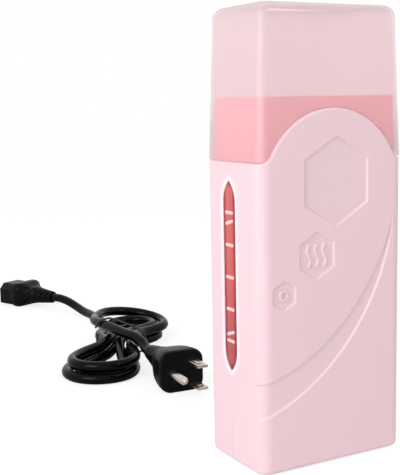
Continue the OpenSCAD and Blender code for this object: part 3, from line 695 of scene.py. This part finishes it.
def shell(name, way, own_lines, inside, relief, material):
    """A shell: its charted face, the same chart a wall's thickness in, flat floor plates,
    and a rim of quads along every open edge. Its point attribute carries a painted highlight round a window."""
    reach = FLAT + TURN + DEPTH / 2 - EDGE_R - way * PART_Y
    chart, faces = triangles_over(wall_lines(reach) + own_lines, lambda u, v: inside(u, v, reach))
    u, v = chart.T
    count = len(chart)
    outer = on_wall(u, v, shell_depth(u, v, reach, relief), way)
    inner = on_wall(u, v, np.full(count, WALL), way)
    bottom = np.nonzero(np.abs(v - V_LOW) < 1e-3)[0]
    bottom = bottom[np.argsort(u[bottom])][::-1]
    one_side = [list(f) for f in faces.tolist()] + [bottom.tolist()]
    if way > 0:
        one_side = [f[::-1] for f in one_side]
    edges = {(f[i], f[(i + 1) % len(f)]) for f in one_side for i in range(len(f))}
    open_edges = [(a, b) for a, b in edges if (b, a) not in edges]
    rim = [[b, a, a + count, b + count] for a, b in sorted(open_edges)]
    made = one_side + [[i + count for i in f[::-1]] for f in one_side] + rim
    thing = add_mesh(name + "_skin", np.vstack([outer, inner]), made, material, "shell")
    # painted highlight: the shell is paler close round its window slots, fading out further off
    highlight_share = 1 - smooth((slot_gap(u, v, reach) - HIGHLIGHT_FROM) / (HIGHLIGHT_W - HIGHLIGHT_FROM))
    painted_highlight = thing.data.attributes.new("painted_highlight", "FLOAT", "POINT")
    painted_highlight.data.foreach_set("value", np.tile(highlight_share, 2))
    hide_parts(name)


def in_wall(u, v, reach):
    """What both shells keep of their chart."""
    below = v < arch_edge(chart_x(u))
    return (np.abs(u) < reach) & (v > V_LOW) & below & (slot_gap(u, v, reach) > 0)


def in_front(u, v, reach):
    """The front shell is open at its lamp."""
    return in_wall(u, v, reach) & (np.hypot(u - SMALL_HEX[0], v - SMALL_HEX[1]) > LAMP_R)


def in_back(u, v, reach):
    """The back shell is open at its inlet and its four screws."""
    kept = in_wall(u, v, reach)
    for side in (-1, 1):
        for z in WELL_ZS:
            kept &= np.hypot(u - side * WELL_X, v - z) > WELL_R
    return kept & ~((np.abs(u) < INLET_W / 2) & (np.abs(v - INLET_Z) < INLET_H / 2))


def back_lines():
    """The lines that the back shell's openings add."""
    lines = [rectangle(0, INLET_Z, INLET_W, INLET_H)]
    for side in (-1, 1):
        lines += [circle(side * WELL_X, z, WELL_R) for z in WELL_ZS]
    return lines


def lathe(profile, at):
    """Points and faces of a profile of (radius, y) turned about a line along Y."""
    angle = np.linspace(0, 2 * math.pi, 32, endpoint=False)
    around_x, around_z = np.sin(angle), np.cos(angle)
    return loft([
        np.stack([at[0] + radius * around_x, y + 0 * angle, at[1] + radius * around_z], 1)
        for radius, y in profile
    ])


# ---------- cap ----------

CAP_LOW, CAP_HIGH = node_box("cap")
CAP_WALL = 1.4
CAP_TAPER = 0.06
CAP_INSET = 0.4  # how far its walls stand back from the shells' faces
CAP_GAP = 0.3  # between its lower edge and the shells
CAP_CORNER = 4
CAP_TOP_R = 5
CAP_CROWN = 0.25  # how far the middle of its top stands proud
CAP_EDGE = ((0.25, 0.16), (0.5, 0.22), (0.75, 0.16))  # its lower edge: share of the wall, drop
CORNER_LEAST = 0.8  # radius of its corners where they are tightest, by the crown


def cap_rings(inset, top_r):
    """Rings of the cap's outside or inside, from its edge up and in to the middle of its
    top: a round-cornered rectangle that shrinks evenly with height, then by a quarter
    circle, then to the middle of a low crown. Its straight part is squeezed upwards so
    that its lower edge follows the arch."""
    low, high = CAP_LOW[2], CAP_HIGH[2] - inset
    lean = np.linspace(0, math.pi / 2, 9)
    straight = np.linspace(low, high - top_r, 14)[:-1]
    heights = np.concatenate([straight, high - top_r * (1 - np.sin(lean))])
    edge = np.concatenate([np.zeros(len(straight)), top_r * (1 - np.cos(lean))])
    rings = []
    for height, drawn in zip(heights, edge):
        share = 1 - CAP_TAPER * (height - low) / (CAP_HIGH[2] - low)
        width = (WIDTH - 2 * inset - 2 * CAP_INSET) * share - 2 * drawn
        depth = (DEPTH - 2 * inset - 2 * CAP_INSET) * share - 2 * drawn
        corner = max(CAP_CORNER - inset - drawn / 2, CORNER_LEAST)
        flat = outline(width, depth, corner, long_steps=90, short_steps=6)
        rings.append(np.column_stack([flat, np.full(len(flat), height)]))
    rings = np.array(rings)
    start = np.maximum(arch_edge(rings[0, :, 0], CAP_GAP), low)
    share = (rings[:, :, 2] - low) / (high - top_r - low)
    cut = start + (high - top_r - start) * share
    rings[:, :, 2] = np.where(share < 1, cut, rings[:, :, 2])
    shrink = np.array([0.97, 0.8, 0.5, 0.2, 0.02])
    crown = np.repeat(rings[-1:], len(shrink), 0)
    crown[:, :, :2] *= shrink[:, None, None]
    crown[:, :, 2] += CAP_CROWN * (1 - shrink[:, None] ** 2)
    return np.vstack([rings, crown])


def build_cap(material):
    """The cap's outside and inside as one closed skin, joined by a rounded lower edge."""
    outside, inside = cap_rings(0, CAP_TOP_R), cap_rings(CAP_WALL, CAP_TOP_R - CAP_WALL)
    edge = []
    for share, drop in CAP_EDGE:
        ring = inside[:1] * (1 - share) + outside[:1] * share
        ring[:, :, 2] -= drop
        edge.append(ring)
    rings = np.vstack([inside[::-1], *edge, outside])
    thing = add_mesh("cap_shell", *loft(rings), material, "cap", body=CAP, crease=SOFT_CREASE)
    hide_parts("cap")


# ---------- level windows ----------

STRIP_SUNK = 0.4
STRIP_OUT = WIDTH / 2 - STRIP_SUNK
STRIP_IN = WIDTH / 2 - WALL
STRIP_CROWN = 0.25
STRIP_ROOM, STRIP_SHORT = 0.02, 0.1  # left free at its sides, and of its slot's length
MARK_Z, MARK_PITCH, MARK_LEN, MARK_T = 57.5, 14.7, 6.6, 1.7
MARK_BASE, MARK_RISE = 0.1, 0.55  # its middle line over the strip's edges, its height over that
MARK_END = 0.18  # share of its half length that is round, at each end
SLANTED_MARKS = ((MARK_Z + 3.6, -18), (MARK_Z + 3.6 * MARK_PITCH + 1.5, -15))  # height, lean


def slot_half_width(z):
    """Half the slot's width at a height."""
    past = np.maximum(np.maximum(z - (SLOT_HIGH - SLOT_TIP), (SLOT_LOW + SLOT_TIP) - z), 0)
    return np.sqrt(np.maximum(SLOT_ARC**2 - past**2, 0)) - SLOT_ARC + SLOT_W / 2


def window_strip(side):
    """A crowned strip in its slot: a closed ring at each height, as wide as the slot there,
    whose front bulges by a parabola. The heights crowd towards both ends by a sine."""
    bend = np.sin(np.linspace(-math.pi / 2, math.pi / 2, 90))[:, None]
    z = (SLOT_LOW + SLOT_HIGH) / 2 + (SLOT_HIGH - SLOT_LOW - STRIP_SHORT) / 2 * bend
    half = np.maximum(slot_half_width(z) - STRIP_ROOM, STRIP_ROOM / 2)
    across = np.linspace(-1, 1, 15)
    front_x = STRIP_OUT + STRIP_CROWN * (1 - across**2) * half / (SLOT_W / 2)
    front = np.stack([side * front_x, PART_Y + across * half, z + 0 * across], -1)
    back = front[:, ::-1].copy()
    back[:, :, 0] = side * STRIP_IN
    rings = np.concatenate([front, back], 1)
    return loft(rings[:, ::-1] if side < 0 else rings)


def level_mark(side, z, lean):
    """A raised bar: an ellipse along its length, whose size falls away at both ends by a
    quarter circle."""
    t = np.linspace(0, 1, 13)
    ends = np.sqrt(np.maximum(1 - np.clip((np.abs(2 * t - 1) - 1 + MARK_END) / MARK_END, 0, 1) ** 2, 0))
    width = np.maximum(ends, 0.02) * MARK_T / 2
    angle = np.linspace(0, 2 * math.pi, 16, endpoint=False)
    along = (t - 0.5)[:, None] * MARK_LEN + 0 * angle
    over = width[:, None] * np.cos(angle)
    rise = MARK_RISE * ends[:, None] * np.sin(angle)
    c, s = math.cos(math.radians(lean)), math.sin(math.radians(lean))
    y = PART_Y + along * c - over * s
    height = z + along * s + over * c
    rings = np.stack([side * (STRIP_OUT + MARK_BASE + rise), y, height], -1)
    return loft(rings if side > 0 else rings[:, ::-1])


def build_window(side, name, strip_finish, mark_finish):
    """A level window with its five even marks and two slanted ones."""
    strip = add_mesh(name + "_strip", *window_strip(side), strip_finish, "coral_window")
    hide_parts(name)
    marks = [(MARK_Z + i * MARK_PITCH, 0) for i in range(5)] + list(SLANTED_MARKS)
    bars = gather([level_mark(side, z, lean) for z, lean in marks])
    add_mesh(name + "_marks", *bars, mark_finish, "coral_window")


# ---------- connector, plug and tie ----------

SLEEVE_TIP_R, GROOVE = 4.6, 0.95  # a sleeve's thin end, and the depth of its grooves
TIE_R = 0.7


def along_x(sections):
    """Rings of round-cornered sections (x, width, height, corner radius) along X."""
    rings = []
    for x, width, height, corner in sections:
        flat = outline(width, height, corner, long_steps=3, short_steps=3)
        rings.append(np.column_stack([np.full(len(flat), x), flat]))
    return loft(rings)


def ribbed_sleeve(length, root_r, ribs):
    """A strain relief along X: its radius grows evenly towards the root, less the grooves
    of a clipped and eased sine. Rails bridge the grooves, at the two sides of one and at
    the top and the bottom of the next."""
    x = np.linspace(0, length, ribs * 12 + 1)[:, None]
    angle = np.linspace(0, 2 * math.pi, 40, endpoint=False)[None]
    phase = x / length * ribs
    rib = smooth((np.sin(2 * math.pi * (phase - 0.25)) + 0.55) / 0.5)
    way = np.where(np.floor(phase) % 2 == 0, np.cos(angle), np.sin(angle))
    rail = smooth((np.abs(way) - 0.9) / 0.06)
    radius = SLEEVE_TIP_R + (root_r - SLEEVE_TIP_R) * x / length - GROOVE * (1 - np.maximum(rib, rail))
    ring = np.stack([x + 0 * angle, radius * np.cos(angle), radius * np.sin(angle)], -1)
    return loft(ring)


def placed(parts, at, degrees):
    """Points and faces moved from the connector's or the plug's own frame to the table."""
    points, faces = parts
    return laid(turned(points, degrees, np.array(at, float))), faces


def connector_parts():
    """The moulded appliance connector: a waisted grip and a shoulder, and a nose with two
    bevelled edges that draws in a little at its end."""
    grip = along_x([
        (17.5, 12.4, 12.4, 5.8), (18.5, 14.2, 13.4, 5.8), (20.5, 14.6, 13.6, 5), (22, 13.2, 12.8, 4.5),
        (24, 14, 13, 4.5), (27, 20, 16, 5), (29, 25, 18.2, 5.5), (30.4, 26.8, 19.2, 5), (32, 27.2, 19.6, 4.5),
        (35.5, 27.2, 19.6, 4.5), (36.6, 26.4, 18.8, 4.5), (37, 25, 17.4, 4.5),
    ])
    nose = np.array([[-12, -8.2], [12, -8.2], [12, 3.6], [7.4, 8.2], [-7.4, 8.2], [-12, 3.6]])
    sections = ((36, 1), (51.4, 1), (52.4, 0.975), (53, 0.93))
    return gather([grip, loft([np.column_stack([np.full(6, x), nose * share]) for x, share in sections])])


def plug_parts():
    """The moulded wall plug: a bell that widens to a flat face."""
    return along_x([
        (13.6, 11, 11, 5), (14.4, 13, 13, 6), (16, 14, 14.4, 6.2), (18, 13.6, 14.2, 6), (22, 16.4, 16.8, 6.5),
        (27, 20, 19.6, 7), (32, 23.4, 22, 7.2), (37, 25.6, 23.8, 7.5), (42, 26.8, 24.6, 7.2),
        (45.8, 27.2, 24.8, 7), (47.2, 26.8, 24.4, 6.6), (48, 25.6, 23.2, 6),
    ])


def tie_path():
    """The wire of the tie: round the waist just clear of the strands, ending at the left."""
    corners = [
        (-16.4, 0, 12.6), (-16.2, 0.2, 4.4), (-12.5, 0.3, 0.75), (0, 0.3, 0.75), (12.5, 0.2, 0.75),
        (16.3, 0, 4.4), (16.1, 0, 12.6), (12.8, 0.1, 16), (-4.6, 0.2, 22.8), (-10, 0.2, 22.9),
        (-14.6, 0, 21.4), (-17.2, 0, 16.5),
    ]
    return rounded_path(corners, 8)


# ---------- stage ----------

# The stage is in metres
AMBIENT, AMBIENT_COLOUR = 0.51, (1, 0.985, 0.98, 1)
LAMPS = (  # name, place, aim, size, power and colour
    ("key", (-0.905, -0.294, 0.5), (0, 0, 0.1), (0.7, 0.7), 6.5, (0.96, 1, 1)),
    ("strip", (0.5, -0.79, 0.7), (0, 0, 0.2), (0.2, 0.16), 1.7, (1, 1, 1)),
)
FLOOR_HALF = 6
FLOOR_GLOW, FLOOR_SHARE = 1.3, 0.6  # what the camera sees of the floor beside its shadows


def add_world():
    """Soft light from all round, and plain white for the camera, for reflections and for
    what is seen through clear parts."""
    world = bpy.data.worlds.new("studio")
    bpy.context.scene.world = world
    world.use_nodes = True
    nodes, links = world.node_tree.nodes, world.node_tree.links
    light = nodes["Background"]
    light.inputs["Color"].default_value = AMBIENT_COLOUR
    light.inputs["Strength"].default_value = AMBIENT
    white = nodes.new("ShaderNodeBackground")
    white.inputs["Color"].default_value = (1, 1, 1, 1)
    rays = nodes.new("ShaderNodeLightPath")
    seen = nodes.new("ShaderNodeMath")
    seen.operation = "MAXIMUM"
    links.new(rays.outputs["Is Camera Ray"], seen.inputs[0])
    links.new(rays.outputs["Is Transmission Ray"], seen.inputs[1])
    both = nodes.new("ShaderNodeMath")
    both.operation = "MAXIMUM"
    links.new(seen.outputs[0], both.inputs[0])
    links.new(rays.outputs["Is Glossy Ray"], both.inputs[1])
    mix = nodes.new("ShaderNodeMixShader")
    links.new(both.outputs[0], mix.inputs["Fac"])
    links.new(light.outputs[0], mix.inputs[1])
    links.new(white.outputs[0], mix.inputs[2])
    links.new(mix.outputs[0], nodes["World Output"].inputs["Surface"])


def add_lamp(name, place, target, size, power, colour):
    """A soft lamp of a width and a height, aimed at a point, in metres."""
    data = bpy.data.lights.new(name, "AREA")
    data.color = colour
    data.shape = "RECTANGLE"
    data.size, data.size_y = size
    data.energy = power
    lamp = bpy.data.objects.new(name, data)
    bpy.context.collection.objects.link(lamp)
    lamp.location = place
    lamp.rotation_euler = (Vector(target) - Vector(place)).to_track_quat("-Z", "Y").to_euler()


def add_floor():
    """A white table that runs past the view on every side. To the camera it shows as
    white, less the shadow that falls on it."""
    mesh = bpy.data.meshes.new("table")
    corners = [(FLOOR_HALF * x, FLOOR_HALF * y, 0) for x, y in ((-1, -1), (1, -1), (1, 1), (-1, 1))]
    mesh.from_pydata(corners, [], [(0, 1, 2, 3)])
    table = bpy.data.objects.new("table", mesh)
    bpy.context.collection.objects.link(table)
    material = bpy.data.materials.new("white_table")
    material.use_nodes = True
    nodes, links = material.node_tree.nodes, material.node_tree.links
    shader = nodes["Principled BSDF"]
    shader.inputs["Base Color"].default_value = (0.9, 0.9, 0.9, 1)
    shader.inputs["Roughness"].default_value = 0.8
    glow = nodes.new("ShaderNodeEmission")
    rays = nodes.new("ShaderNodeLightPath")
    share = nodes.new("ShaderNodeMath")
    share.operation = "MULTIPLY"
    share.inputs[1].default_value = FLOOR_SHARE
    glow.inputs["Strength"].default_value = FLOOR_GLOW
    mix = nodes.new("ShaderNodeMixShader")
    links.new(rays.outputs["Is Camera Ray"], share.inputs[0])
    links.new(share.outputs[0], mix.inputs["Fac"])
    links.new(shader.outputs[0], mix.inputs[1])
    links.new(glow.outputs[0], mix.inputs[2])
    links.new(mix.outputs[0], nodes["Material Output"].inputs["Surface"])
    mesh.materials.append(material)


# ---------- CAD nodes that stay ----------


def soften(name, material, width):
    """A CAD node that stays: its loose triangles are joined while it renders, its edges
    are rounded `width` millimetres wide, and it gets its finish."""
    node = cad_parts[name]
    node.data.materials.clear()
    node.data.materials.append(material)
    node.data.shade_smooth()
    weld = node.modifiers.new("weld", "WELD")
    weld.merge_threshold = 0.002 * MM
    flat = node.modifiers.new("flat", "DECIMATE")
    flat.decimate_type = "DISSOLVE"
    flat.angle_limit = math.radians(1)
    rounding = node.modifiers.new("rounding", "BEVEL")
    rounding.width = width * MM
    rounding.segments = 3
    rounding.limit_method = "ANGLE"
    rounding.angle_limit = math.radians(40)
    rounding.harden_normals = True


def dress_nodes():
    """The finish and the edge width of every CAD node that stays."""
    plated = finish("nickel_plate", srgb(214, 206, 196), 0.22, srgb(200, 192, 182), 6, metallic=1.0)
    steel = finish("zinc_steel", srgb(196, 196, 200), 0.34, srgb(182, 182, 188), 5, metallic=1.0)
    coral = finish("coral", srgb(255, 187, 193), 0.3, srgb(254, 182, 188), 30, grain=0.01, coat_weight=0.3)
    aluminium = finish("plate_aluminium", srgb(208, 208, 212), 0.36, metallic=1.0, grain=0.01)
    glass_fibre = finish("glass_fibre", srgb(230, 224, 210), 0.85, grain=0.08, grain_size=0.6)
    soften("cartridge_bay", coral, 0.6)
    soften("shell_screws", steel, 0.12)
    soften("rubber_feet", finish("foot_rubber", srgb(226, 214, 214), 0.6, grain=0.03), 0.4)
    soften("heating_plate", aluminium, 0.15)
    soften("ptc_heater", finish("amber_film", srgb(204, 150, 62), 0.3, coat_weight=0.4), 0.15)
    soften("ptc_clamp", steel, 0.1)
    soften("clamp_screws", steel, 0.12)
    soften("insulation_sheet", glass_fibre, 0.1)
    soften("thermostat", finish("switch_black", srgb(28, 28, 30), 0.4, grain=0.01), 0.3)
    soften("thermal_fuse", finish("ceramic", srgb(235, 232, 224), 0.25, grain=0.01), 0.2)
    soften("led_lens", finish("lamp_lens", srgb(240, 200, 208), 0.3, grain=0.01, coat_weight=0.4), 0.1)
    soften("led", finish("lamp_resin", srgb(255, 226, 214), 0.12, coat_weight=0.3), 0.1)
    soften("led_board", finish("board_green", srgb(54, 116, 78), 0.4, srgb(48, 100, 70), 6), 0.1)
    soften("mains_inlet", finish("inlet_black", srgb(24, 24, 26), 0.38, grain=0.02), 0.35)
    soften("inlet_pins", plated, 0.25)
    soften("connector_contacts", finish("contact_brass", srgb(205, 168, 98), 0.28, metallic=1.0), 0.05)
    soften("plug_blades", plated, 0.2)
    soften("plug_ground_pin", plated, 0.3)
    for name, colour in (
        ("wire_live", (128, 78, 52)), ("wire_neutral", (66, 102, 176)),
        ("wire_earth", (118, 162, 66)), ("wire_led", (190, 56, 54)),
    ):
        soften(name, finish(name + "_silicone", srgb(*colour), 0.4, grain=0.02), 0.05)


# ---------- the lead and the heater ----------


def build_lead():
    """The cord with its connector, plug, sleeves and tie."""
    rubber = finish(
        "black_rubber", srgb(5, 5, 7), 0.34, srgb(10, 10, 12), 12, grain=0.03, grain_size=0.4,
        specular_ior_level=0.1,
    )
    sheath = finish(
        "black_sheath", srgb(2, 2, 3), 0.16, srgb(5, 5, 6), 10, grain=0.01, grain_size=0.5,
        specular_ior_level=0.1,
    )
    tie_finish = finish("tie_wire", srgb(30, 30, 32), 0.4, srgb(40, 40, 42), 5, grain=0.02)

    lead = cord_path()
    cord = add_curve("mains_lead", lead, CORD_R, sheath, sides=6)
    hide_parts("cord_lead", "cord_hank", "cord_tail")
    connector_place, plug_place = (CONNECTOR_AT, CONNECTOR_TURN), (PLUG_AT, PLUG_TURN)
    for name, parts, at, degrees, crease, node in (
        ("connector_moulding", connector_parts(), *connector_place, CREASE, "connector_body"),
        ("connector_sleeve", ribbed_sleeve(18, 6.6, 6), *connector_place, SOFT_CREASE, "connector_relief"),
        ("plug_moulding", plug_parts(), *plug_place, CREASE, "plug_body"),
        ("plug_sleeve", ribbed_sleeve(14, 6.8, 4), *plug_place, SOFT_CREASE, "plug_relief"),
    ):
        piece = add_mesh(name, *placed(parts, at, degrees), rubber, "black_rubber", crease=crease)
        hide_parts(node)
    tie = add_curve("tie", laid(tie_path()), TIE_R, tie_finish, sides=3)
    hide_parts("cord_tie")


def build_heater():
    """The two shells with their screw wells, the cap and the level windows."""
    pink = shell_finish()
    shell("front_shell", -1, relief_lines(), in_front, front_relief, pink)
    shell("back_shell", 1, back_lines(), in_back, plain, pink)
    wells = gather([lathe(WELL_SHAPE, (side * WELL_X, z)) for side in (-1, 1) for z in WELL_ZS])
    add_mesh("screw_wells", *wells, pink, "shell")
    build_cap(finish(
        "frosted_cap", srgb(247, 222, 226), 0.35, srgb(246, 220, 224), 50, grain=0.01, grain_size=0.4,
        alpha=0.55, transmission_weight=0.65, ior=1.08, coat_weight=0.6, coat_roughness=0.12, coat_ior=1.6,
    ))
    mark = finish("level_mark", srgb(252, 208, 212), 0.35, srgb(250, 200, 205), 8, grain=0.01, grain_size=0.3)
    strip = window_finish()
    build_window(-1, "window_left", strip, mark)
    build_window(1, "window_right", strip, mark)


add_camera()
add_world()
add_floor()
for lamp_row in LAMPS:
    add_lamp(*lamp_row)
build_lead()
build_heater()
dress_nodes()

view = bpy.context.scene.view_settings
view.view_transform = "Standard"
